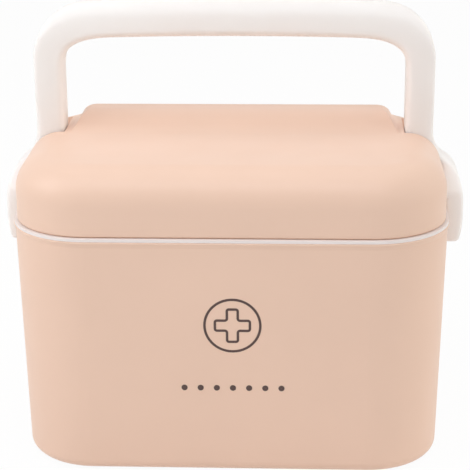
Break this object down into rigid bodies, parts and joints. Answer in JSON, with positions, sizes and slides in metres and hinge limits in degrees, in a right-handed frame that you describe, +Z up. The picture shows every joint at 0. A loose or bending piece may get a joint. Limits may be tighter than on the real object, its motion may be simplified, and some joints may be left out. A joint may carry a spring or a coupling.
{
  "type": "medicine box",
  "caption": "Rounded lidded box for home medicines, with a divided lift-out tray, partitions below it, a lift-off lid with a raised block and a tilting carrying handle with side ears.",
  "frame": {"origin": "on the floor under the middle of the box", "axes": "+X to the box's right as seen from the front, +Y to the back, +Z up; the front faces -Y"},
  "size_m": [0.3276, 0.19, 0.3119],
  "materials": {
    "shell": "satin moulded polypropylene, pale salmon",
    "ivory": "satin moulded polypropylene, warm white",
    "rubber": "matt rubber, dark grey",
    "steel": "plain bright steel",
    "acetal": "smooth natural bearing plastic"
  },
  "bodies": {
    "box": {"body_shell": "shell", "foot_front_left": "rubber", "foot_front_right": "rubber", "foot_rear_left": "rubber", "foot_rear_right": "rubber", "partition_left": "ivory", "partition_right": "ivory", "tray": "ivory", "tray_divider_long": "ivory", "tray_divider_left": "ivory", "tray_divider_right": "ivory"},
    "lid": {"lid_shell": "shell", "pivot_pin_left": "steel", "pivot_pin_right": "steel", "friction_washer_left": "acetal", "friction_washer_right": "acetal"},
    "handle": {"handle_front": "ivory", "handle_rear": "ivory", "pivot_bush_left": "acetal", "pivot_bush_right": "acetal", "grip_screw_left": "steel", "grip_screw_right": "steel", "corner_screw_left": "steel", "corner_screw_right": "steel", "ear_screw_left": "steel", "ear_screw_right": "steel"}
  },
  "joints": [
    {"name": "lid_lift", "type": "slide", "parent": "box", "child": "lid", "axis": [0, 0, 1], "range_m": [0, 0.12]},
    {"name": "handle_fold", "type": "hinge", "parent": "lid", "child": "handle", "pos_m": [0, 0.0275, 0.1822], "axis": [-1, 0, 0], "range_deg": [0, 20]}
  ]
}
